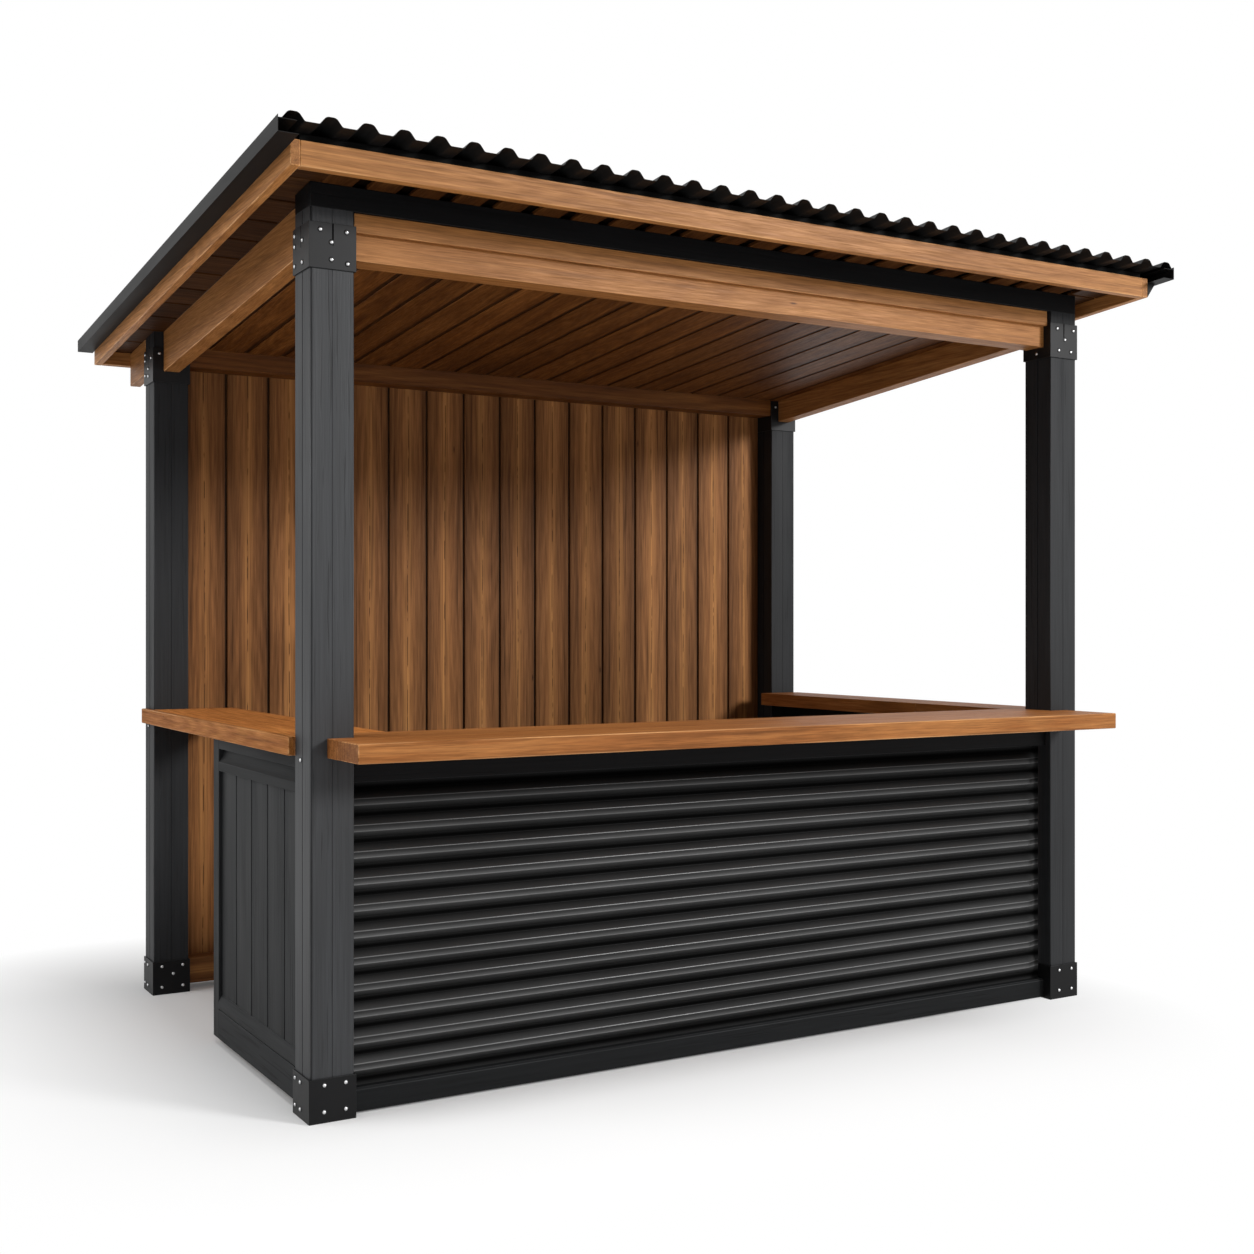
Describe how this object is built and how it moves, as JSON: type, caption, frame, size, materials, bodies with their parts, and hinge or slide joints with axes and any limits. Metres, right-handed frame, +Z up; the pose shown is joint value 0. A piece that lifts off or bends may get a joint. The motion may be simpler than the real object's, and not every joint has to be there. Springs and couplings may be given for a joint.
{
  "type": "market stall",
  "caption": "Open wooden market stall: dark posts in steel shoes, timber counters on the open sides, boarded back wall and a shallow corrugated roof.",
  "frame": {"origin": "on the ground under the middle of the roof's plan", "axes": "+Z up, +X to the right along the front counter as a customer sees it, +Y from the front counter to the back wall"},
  "size_m": [3.38, 2.51, 2.7294],
  "materials": {
    "stained_wood": "oiled softwood, warm brown",
    "wall_wood": "oiled walnut-brown boards",
    "ceiling_wood": "dark stained boards",
    "painted_timber": "matt anthracite paint over timber",
    "black_steel": "black powder coat",
    "roof_metal": "satin black coated sheet",
    "front_metal": "satin black coated sheet"
  },
  "bodies": {
    "root": {"back_wall": "wall_wood", "back_wall_rail": "wall_wood", "ceiling_boards": "ceiling_wood", "front_counter": "stained_wood", "front_fascia": "stained_wood", "front_left_bracket": "black_steel", "front_left_post": "painted_timber", "front_left_shoe": "black_steel", "front_lower_beam": "stained_wood", "front_plate": "painted_timber", "front_plinth": "painted_timber", "front_right_bracket": "black_steel", "front_right_post": "painted_timber", "front_right_shoe": "black_steel", "front_sheet": "front_metal", "front_top_rail": "painted_timber", "front_upper_beam": "stained_wood", "left_barge_board": "stained_wood", "left_counter": "stained_wood", "left_panel_boards": "painted_timber", "left_panel_bottom_rail": "painted_timber", "left_panel_stile": "painted_timber", "left_panel_top_rail": "painted_timber", "left_rafter_tail": "stained_wood", "left_side_beam": "stained_wood", "left_verge_trim": "roof_metal", "rear_fascia": "stained_wood", "rear_header": "stained_wood", "rear_left_bracket": "black_steel", "rear_left_post": "painted_timber", "rear_left_shoe": "black_steel", "rear_right_bracket": "black_steel", "rear_right_post": "painted_timber", "rear_right_shoe": "black_steel", "right_barge_board": "stained_wood", "right_counter": "stained_wood", "right_panel_boards": "painted_timber", "right_panel_bottom_rail": "painted_timber", "right_panel_top_rail": "painted_timber", "right_rafter_tail": "stained_wood", "right_side_beam": "stained_wood", "right_verge_trim": "roof_metal", "roof_battens": "painted_timber", "roof_deck": "ceiling_wood", "roof_sheet": "roof_metal"}
  },
  "joints": []
}
